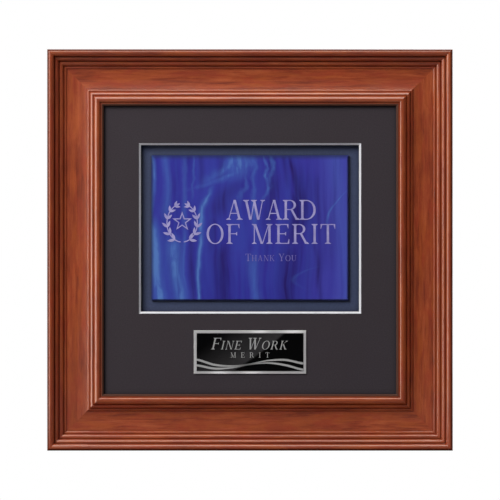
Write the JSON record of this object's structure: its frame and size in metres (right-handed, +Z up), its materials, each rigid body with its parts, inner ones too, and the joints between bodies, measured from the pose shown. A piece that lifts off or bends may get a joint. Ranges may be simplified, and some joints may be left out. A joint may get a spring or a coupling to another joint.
{
  "type": "wall plaque",
  "caption": "Wall-hung award plaque: reeded hardwood frame, dark bevelled mat, a blue art-glass panel with pale artwork and a small black nameplate",
  "frame": {"origin": "middle of the frame's lower edge, on the plane of the frame's back", "axes": "+X to the viewer's right, +Z up; the plaque faces -Y and the wall is at +Y"},
  "size_m": [0.366, 0.0343, 0.3622],
  "materials": {
    "frame_wood": "stained reddish brown, satin lacquer",
    "mat_paper": "charcoal, matt",
    "mat_core_board": "white, matt, cut at 45 degrees",
    "mount_paper": "slate blue, matt",
    "foam_board": "white foam board",
    "art_glass": "streaky cobalt, polished",
    "foam_tape": "adhesive foam tape",
    "silver_plate": "bright silver, polished",
    "black_plate": "black gloss with silver lines",
    "hardboard": "brown hardboard, smooth",
    "zinc_steel": "bright zinc",
    "nickel_steel": "nickel plated",
    "bumper_rubber": "matt"
  },
  "bodies": {
    "frame": {"frame_rail_bottom": "frame_wood", "frame_rail_right": "frame_wood", "frame_rail_top": "frame_wood", "frame_rail_left": "frame_wood", "mat_face_paper": "mat_paper", "mat_core": "mat_core_board", "mount_board": "mount_paper", "riser_top": "foam_board", "riser_bottom": "foam_board", "riser_left": "foam_board", "riser_right": "foam_board", "filler_board": "foam_board", "art_glass": "art_glass", "glass_pads": "foam_tape", "nameplate_tape": "foam_tape", "nameplate_backplate": "silver_plate", "nameplate_face": "black_plate", "backing_board": "hardboard", "corner_v_nails": "zinc_steel", "turn_button_screws": "zinc_steel", "hanger_screws": "zinc_steel", "hanger_strap_left": "nickel_steel", "hanger_strap_right": "nickel_steel", "wall_bumper_left": "bumper_rubber", "wall_bumper_right": "bumper_rubber"},
    "turn_button_bottom_left": {"turn_button_bottom_left": "zinc_steel"},
    "turn_button_bottom_right": {"turn_button_bottom_right": "zinc_steel"},
    "turn_button_right_lower": {"turn_button_right_lower": "zinc_steel"},
    "turn_button_right_upper": {"turn_button_right_upper": "zinc_steel"},
    "turn_button_top_right": {"turn_button_top_right": "zinc_steel"},
    "turn_button_top_left": {"turn_button_top_left": "zinc_steel"},
    "turn_button_left_upper": {"turn_button_left_upper": "zinc_steel"},
    "turn_button_left_lower": {"turn_button_left_lower": "zinc_steel"},
    "d_ring_left": {"d_ring_left": "nickel_steel"},
    "d_ring_right": {"d_ring_right": "nickel_steel"}
  },
  "joints": [
    {"name": "turn_button_bottom_left_pivot", "type": "hinge", "parent": "frame", "child": "turn_button_bottom_left", "pos_m": [-0.055, 0.0007, 0.0355], "axis": [0, 1, 0], "continuous": true},
    {"name": "turn_button_bottom_right_pivot", "type": "hinge", "parent": "frame", "child": "turn_button_bottom_right", "pos_m": [0.055, 0.0007, 0.0355], "axis": [0, 1, 0], "continuous": true},
    {"name": "turn_button_right_lower_pivot", "type": "hinge", "parent": "frame", "child": "turn_button_right_lower", "pos_m": [0.1475, 0.0007, 0.1261], "axis": [0, 1, 0], "continuous": true},
    {"name": "turn_button_right_upper_pivot", "type": "hinge", "parent": "frame", "child": "turn_button_right_upper", "pos_m": [0.1475, 0.0007, 0.2361], "axis": [0, 1, 0], "continuous": true},
    {"name": "turn_button_top_right_pivot", "type": "hinge", "parent": "frame", "child": "turn_button_top_right", "pos_m": [0.055, 0.0007, 0.3267], "axis": [0, 1, 0], "continuous": true},
    {"name": "turn_button_top_left_pivot", "type": "hinge", "parent": "frame", "child": "turn_button_top_left", "pos_m": [-0.055, 0.0007, 0.3267], "axis": [0, 1, 0], "continuous": true},
    {"name": "turn_button_left_upper_pivot", "type": "hinge", "parent": "frame", "child": "turn_button_left_upper", "pos_m": [-0.1475, 0.0007, 0.2361], "axis": [0, 1, 0], "continuous": true},
    {"name": "turn_button_left_lower_pivot", "type": "hinge", "parent": "frame", "child": "turn_button_left_lower", "pos_m": [-0.1475, 0.0007, 0.1261], "axis": [0, 1, 0], "continuous": true},
    {"name": "d_ring_left_swing", "type": "hinge", "parent": "frame", "child": "d_ring_left", "pos_m": [-0.1608, 0.00215, 0.306], "axis": [-1, 0, 0], "range_deg": [-3, 172]},
    {"name": "d_ring_right_swing", "type": "hinge", "parent": "frame", "child": "d_ring_right", "pos_m": [0.1608, 0.00215, 0.306], "axis": [-1, 0, 0], "range_deg": [-3, 172]}
  ]
}
